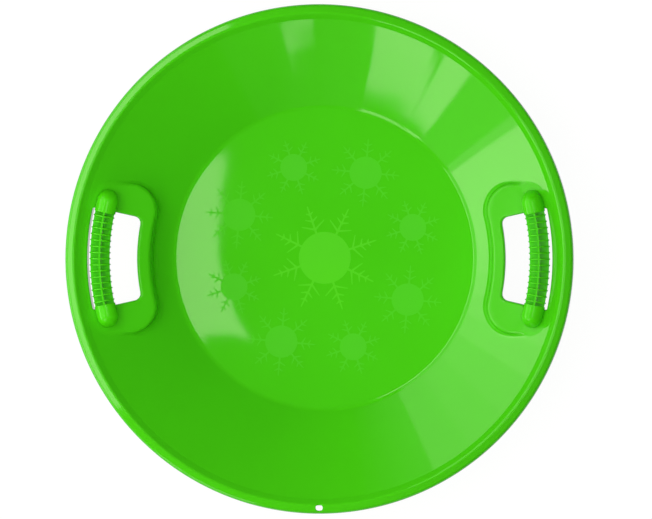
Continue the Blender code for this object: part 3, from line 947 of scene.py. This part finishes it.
def make_grip(side, turn_angle):
    """One grip, of its spine, fins, end plates, domed feet and slit pegs."""
    fins = []
    for i in range(FIN_COUNT):
        place = i - (FIN_COUNT - 1) / 2.0
        fins.append(fin_rings(turn_angle + place * FIN_PITCH, FIN_THICKNESS))
    for sign in BOTH_WAYS:
        fins.append(fin_rings(turn_angle + sign * END_PLATE_ANGLE, END_PLATE_THICKNESS))
    domes = body("domes", [dome_rings(turn_angle, sign) for sign in BOTH_WAYS])
    pegs = [peg_rings(turn_angle + sign * PEG_ANGLE) for sign in BOTH_WAYS]
    grip = body(side + "_grip_bar", [spine_rings(turn_angle)])
    boolean(grip, body("fins", fins), "UNION")
    boolean(domes, wall_space(), "DIFFERENCE")
    boolean(grip, domes, "UNION")
    boolean(grip, body("pegs", pegs), "UNION")
    boolean(grip, make_slits(turn_angle), "DIFFERENCE")
    mesh = grip.data
    mesh.polygons.foreach_set("use_smooth", [True] * len(mesh.polygons))
    mesh.set_sharp_from_angle(angle=SHARP_ANGLE)
    return grip


# Snowflakes, moulded a little proud of the floor


def bar(root, angle, length, width, tip_width):
    """A narrow tapered bar's outline with a pointed end, divided along its length."""
    along, aside = polar(1.0, angle), polar(1.0, angle + math.pi / 2.0)
    steps = max(1, math.ceil(length / FLAKE_SPACING))
    shares = np.linspace(0.0, 1.0, steps + 1)[:, None]
    middles = root + shares * (length - tip_width) * along
    halves = 0.5 * (width + shares * (tip_width - width)) * aside
    return np.concatenate((middles - halves, [root + length * along], (middles + halves)[::-1]))


def flake_shapes(centre, disc, tip, turn, width, twigs):
    """Outlines of a flake's disc and of its arms with their twigs."""
    shapes = [centre + ring(disc, FLAKE_DISC_STEPS)]
    twig_width = FLAKE_TWIG_SHARE * width
    for i in range(FLAKE_ARMS):
        angle = turn + i * 2.0 * math.pi / FLAKE_ARMS
        shapes.append(bar(centre, angle, tip, width, FLAKE_TIP_SHARE * width))
        for start, length in twigs:
            root = centre + start * polar(1.0, angle)
            for sign in BOTH_WAYS:
                lean = angle + sign * FLAKE_TWIG_LEAN
                shapes.append(bar(root, lean, length, twig_width, FLAKE_TIP_SHARE * twig_width))
    return shapes


def ring_flakes():
    """Places of the small flakes, whose kinds take turns."""
    flakes = []
    for i in range(FLAKE_COUNT):
        angle = FLAKE_RING_TURN + i * 2.0 * math.pi / FLAKE_COUNT
        centre = np.array(FLAKE_RING_MIDDLE) + polar(FLAKE_RING_RADIUS, angle)
        flakes.append((centre, SMALL_FLAKES[i % len(SMALL_FLAKES)]))
    return flakes


def open_edges(triangles):
    """Edges that only one triangle has, in that triangle's direction."""
    edges = {}
    for corners in triangles:
        for edge in zip(corners, corners[1:] + corners[:1]):
            edges[edge] = True
    return [(i, j) for i, j in edges if (j, i) not in edges]


def flake_object(name, flakes):
    """Flakes as one thin relief that follows the floor, each given by its centre and kind."""
    points, faces = [], []
    for centre, (disc, tip, turn, width, twigs) in flakes:
        for shape in flake_shapes(centre, disc, tip, turn, width, twigs):
            faces.append(list(range(len(points), len(points) + len(shape))))
            points += list(shape)
        for radius in np.arange(FLAKE_SPACING, disc, FLAKE_SPACING):
            points += list(centre + ring(radius, math.ceil(2.0 * math.pi * radius / FLAKE_SPACING)))
    found, _, triangles, _, _, _ = delaunay_2d_cdt(
        [Vector(point) for point in points], [], faces, 1, FLAKE_MERGE)
    flat = np.array([tuple(point) for point in found])
    heights = skin_heights(flat)
    normals = turned_normals(flat)
    top = lift(flat, heights) + FLAKE_RELIEF * normals
    bottom = lift(flat, heights) - FLAKE_ROOT * normals
    count = len(flat)
    triangles = [list(triangle) for triangle in triangles]
    sides = [[j, i, i + count, j + count] for i, j in open_edges(triangles)]
    under = [[i + count for i in triangle[::-1]] for triangle in triangles]
    points, faces = without_loose(np.concatenate((top, bottom)), triangles + under + sides)
    obj = mesh_object(name, points, faces)
    obj.data.set_sharp_from_angle(angle=SHARP_ANGLE)
    return obj


# Materials


def material(name):
    made = bpy.data.materials.new(name)
    made.use_nodes = True
    tree = made.node_tree
    tree.nodes.clear()
    output = tree.nodes.new("ShaderNodeOutputMaterial")
    return made, tree, output


def add_node(tree, kind, inputs=(), **settings):
    """A node with its settings, and its inputs set to values or linked to other nodes' outputs."""
    node = tree.nodes.new(kind)
    for name, value in settings.items():
        setattr(node, name, value)
    for name, value in dict(inputs).items():
        if isinstance(value, bpy.types.NodeSocket):
            tree.links.new(value, node.inputs[name])
        else:
            node.inputs[name].default_value = value
    return node


def noise(tree, scale, detail, roughness):
    """The height of a noise that is fixed to the object."""
    place = add_node(tree, "ShaderNodeTexCoord").outputs["Object"]
    node = add_node(tree, "ShaderNodeTexNoise", {
        "Vector": place, "Scale": scale, "Detail": detail, "Roughness": roughness})
    return node.outputs["Fac"]


def varied(tree, patches, middle, share):
    """A number that the patches change by a share, up and down."""
    node = add_node(tree, "ShaderNodeMapRange", {
        "Value": patches, "From Min": PATCH_RANGE[0], "From Max": PATCH_RANGE[1],
        "To Min": middle * (1.0 - share), "To Max": middle * (1.0 + share)})
    return node.outputs["Result"]


def combined(tree, operation, first, second):
    """The result of one calculation on two numbers or outputs."""
    node = add_node(tree, "ShaderNodeMath", {0: first, 1: second}, operation=operation)
    return node.outputs["Value"]


def plastic(name, colour, roughness, specular, waviness, grain):
    """Moulded plastic: slow waves in its gloss, fine grain, and slightly uneven colour."""
    made, tree, output = material(name)
    slow = add_node(tree, "ShaderNodeBump", {
        "Height": noise(tree, *WAVE_NOISE), "Strength": 1.0, "Distance": waviness})
    fine = add_node(tree, "ShaderNodeBump", {
        "Height": noise(tree, *GRAIN_NOISE), "Strength": 1.0, "Distance": grain,
        "Normal": slow.outputs["Normal"]})
    patches = noise(tree, *PATCH_NOISE)
    tint = add_node(tree, "ShaderNodeVectorMath", {
        0: colour, "Scale": varied(tree, patches, 1.0, COLOUR_CHANGE)}, operation="SCALE")
    shader = add_node(tree, "ShaderNodeBsdfPrincipled", {
        "Base Color": tint.outputs["Vector"],
        "Roughness": varied(tree, patches, roughness, GLOSS_CHANGE),
        "IOR": PLASTIC_IOR, "Specular IOR Level": specular, "Normal": fine.outputs["Normal"]})
    tree.links.new(shader.outputs["BSDF"], output.inputs["Surface"])
    return made


# Stage


def any_ray(tree, *kinds):
    """One for rays of these kinds, else nought."""
    path = add_node(tree, "ShaderNodeLightPath")
    found = path.outputs[kinds[0]]
    for kind in kinds[1:]:
        found = combined(tree, "MAXIMUM", found, path.outputs[kind])
    return found


def make_floor():
    """A white floor that keeps the shadow, with a painted shadow under the dish that dims what is
    mirrored and bounced of its glow, opening up between two radii.
    """
    bm = bmesh.new()
    bmesh.ops.create_grid(bm, x_segments=FLOOR_SEGMENTS, y_segments=FLOOR_SEGMENTS, size=FLOOR_REACH)
    floor = bmesh_object("studio_floor", bm)
    floor.location.z = -FLOOR_GAP
    made, tree, output = material("floor_paper")
    place = add_node(tree, "ShaderNodeTexCoord").outputs["Object"]
    # Painted shadow: the glow that is mirrored and bounced is nought near the dish's axis and full
    # beyond the open radius
    from_axis = add_node(tree, "ShaderNodeVectorMath", {0: place}, operation="LENGTH")
    outside_painted_shadow = add_node(tree, "ShaderNodeMapRange", {
        "Value": from_axis.outputs["Value"], "From Min": FLOOR_SHADE_RADIUS,
        "From Max": FLOOR_OPEN_RADIUS})
    bounced = combined(tree, "MULTIPLY", any_ray(tree, "Is Diffuse Ray"), FLOOR_BOUNCE)
    returned = combined(tree, "MAXIMUM", any_ray(tree, "Is Glossy Ray"), bounced)
    shaded = combined(tree, "MULTIPLY", returned, outside_painted_shadow.outputs["Result"])
    white = combined(tree, "MAXIMUM", any_ray(tree, "Is Camera Ray", "Is Transmission Ray"), shaded)
    strength = combined(tree, "MULTIPLY", white, FLOOR_GLOW)
    diffuse = add_node(tree, "ShaderNodeBsdfDiffuse", {"Color": (FLOOR_DIFFUSE,) * 3 + (1.0,)})
    glow = add_node(tree, "ShaderNodeEmission", {"Strength": strength})
    paper = add_node(tree, "ShaderNodeAddShader", {0: diffuse.outputs[0], 1: glow.outputs[0]})
    tree.links.new(paper.outputs[0], output.inputs["Surface"])
    floor.data.materials.append(made)
    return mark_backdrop(floor)


def make_world():
    """A world that is white where the camera sees it, and nearly dark elsewhere."""
    world = bpy.data.worlds.new("studio")
    bpy.context.scene.world = world
    world.use_nodes = True
    tree = world.node_tree
    tree.nodes.clear()
    output = tree.nodes.new("ShaderNodeOutputWorld")
    seen = any_ray(tree, "Is Camera Ray", "Is Transmission Ray")
    strength = add_node(tree, "ShaderNodeMapRange", {
        "Value": seen, "To Min": WORLD_STRENGTH, "To Max": 1.0})
    back = add_node(tree, "ShaderNodeBackground", {"Strength": strength.outputs["Result"]})
    tree.links.new(back.outputs["Background"], output.inputs["Surface"])


def make_panel(name, centre, across, back, size, radiance, colour, is_mirrored=True):
    """A soft panel that shines away from its back."""
    lamp = bpy.data.lights.new(name, "AREA")
    lamp.color = colour
    lamp.shape = "RECTANGLE"
    lamp.size, lamp.size_y = size
    lamp.energy = radiance * math.pi * size[0] * size[1]
    obj = bpy.data.objects.new(name, lamp)
    axes = Matrix((across, back.cross(across), back)).transposed()
    obj.matrix_world = Matrix.Translation(centre) @ axes.to_4x4()
    obj.visible_camera = False
    obj.visible_glossy = is_mirrored
    bpy.context.scene.collection.objects.link(obj)


def make_upright_panels(name, azimuths, count, heights, tilt, radiances):
    """Panels side by side that face the object, between two azimuths and two heights."""
    start, end = azimuths
    first, last = radiances
    step = math.radians((end - start) / count)
    turn = math.radians(tilt)
    size = (2.0 * UPRIGHT_DISTANCE * math.tan(step / 2.0), heights[1] - heights[0])
    for i in range(count):
        share = (i + 0.5) / count
        azimuth = math.radians(start) + (i + 0.5) * step
        back = Vector((math.cos(azimuth), math.sin(azimuth), 0.0))
        level = Vector((-back.y, back.x, 0.0))
        across = math.cos(turn) * level + math.sin(turn) * Vector(UP)
        centre = UPRIGHT_DISTANCE * back + 0.5 * sum(heights) * Vector(UP)
        radiance = first + share * (last - first)
        make_panel(f"{name}_panel_{i}", centre, across, back, size, radiance, WARM_WHITE)


def make_overhead_panel(name, place, size, height, turn, radiance, colour, is_mirrored):
    """A level panel over the object, turned by some degrees about its middle."""
    across = Vector((math.cos(math.radians(turn)), math.sin(math.radians(turn)), 0.0))
    centre = Vector((*place, height))
    make_panel(name + "_panel", centre, across, Vector(UP), size, radiance, colour, is_mirrored)


def make_camera():
    """The photograph's camera, nearly overhead and far away."""
    rim = Vector((0.0, 0.0, RIM_LEVEL))
    back = Vector((math.tan(VIEW_LEAN_X), math.tan(VIEW_LEAN_Y), 1.0)).normalized()
    up = (Vector((0.0, 1.0, 0.0)) - back.y * back).normalized()
    right = up.cross(back)
    across = (FRAME_WIDTH / 2.0 - RIM_PIXEL[0]) * METRES_PER_PIXEL
    rise = (RIM_PIXEL[1] - FRAME_HEIGHT / 2.0) * METRES_PER_PIXEL
    camera = bpy.data.cameras.new("camera")
    camera.type = "ORTHO"
    camera.ortho_scale = FRAME_WIDTH * METRES_PER_PIXEL
    obj = bpy.data.objects.new("camera", camera)
    place = rim + across * right + rise * up + CAMERA_DISTANCE * back
    obj.matrix_world = Matrix.Translation(place) @ Matrix((right, up, back)).transposed().to_4x4()
    bpy.context.scene.collection.objects.link(obj)
    bpy.context.scene.camera = obj


def main():
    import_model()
    bpy.context.scene.view_settings.view_transform = "Standard"
    dish_plastic = plastic("green_gloss_plastic", DISH_GREEN, DISH_ROUGHNESS, DISH_SPECULAR,
                           DISH_WAVINESS, DISH_GRAIN)
    grip_plastic = plastic("green_grip_plastic", GRIP_GREEN, GRIP_ROUGHNESS, GRIP_SPECULAR,
                           GRIP_WAVINESS, DISH_GRAIN)
    frosted = plastic("green_frosted_plastic", LARGE_FLAKE_GREEN, FLAKE_ROUGHNESS,
                      FLAKE_SPECULAR, DISH_WAVINESS, FLAKE_GRAIN)
    faint = plastic("green_faint_frosted_plastic", SMALL_FLAKE_GREEN, FLAKE_ROUGHNESS,
                    FLAKE_SPECULAR, DISH_WAVINESS, FLAKE_GRAIN)
    dish = make_dish()
    dish.data.materials.append(dish_plastic)
    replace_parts(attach(dish, "root"), "dish_shell")
    large = flake_object("large_snowflake", [(ORIGIN, LARGE_FLAKE)])
    small = flake_object("small_snowflakes", ring_flakes())
    for flakes, matt in ((large, frosted), (small, faint)):
        flakes.data.materials.append(matt)
        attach(flakes, "root")
    for side, turn_angle in SIDES.items():
        grip = make_grip(side, turn_angle)
        grip.data.materials.clear()
        grip.data.materials.append(grip_plastic)
        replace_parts(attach(grip, "root"), side + "_grip")
    make_floor()
    make_world()
    for panel in UPRIGHT_PANELS:
        make_upright_panels(*panel)
    for panel in OVERHEAD_PANELS:
        make_overhead_panel(*panel)
    make_camera()


main()
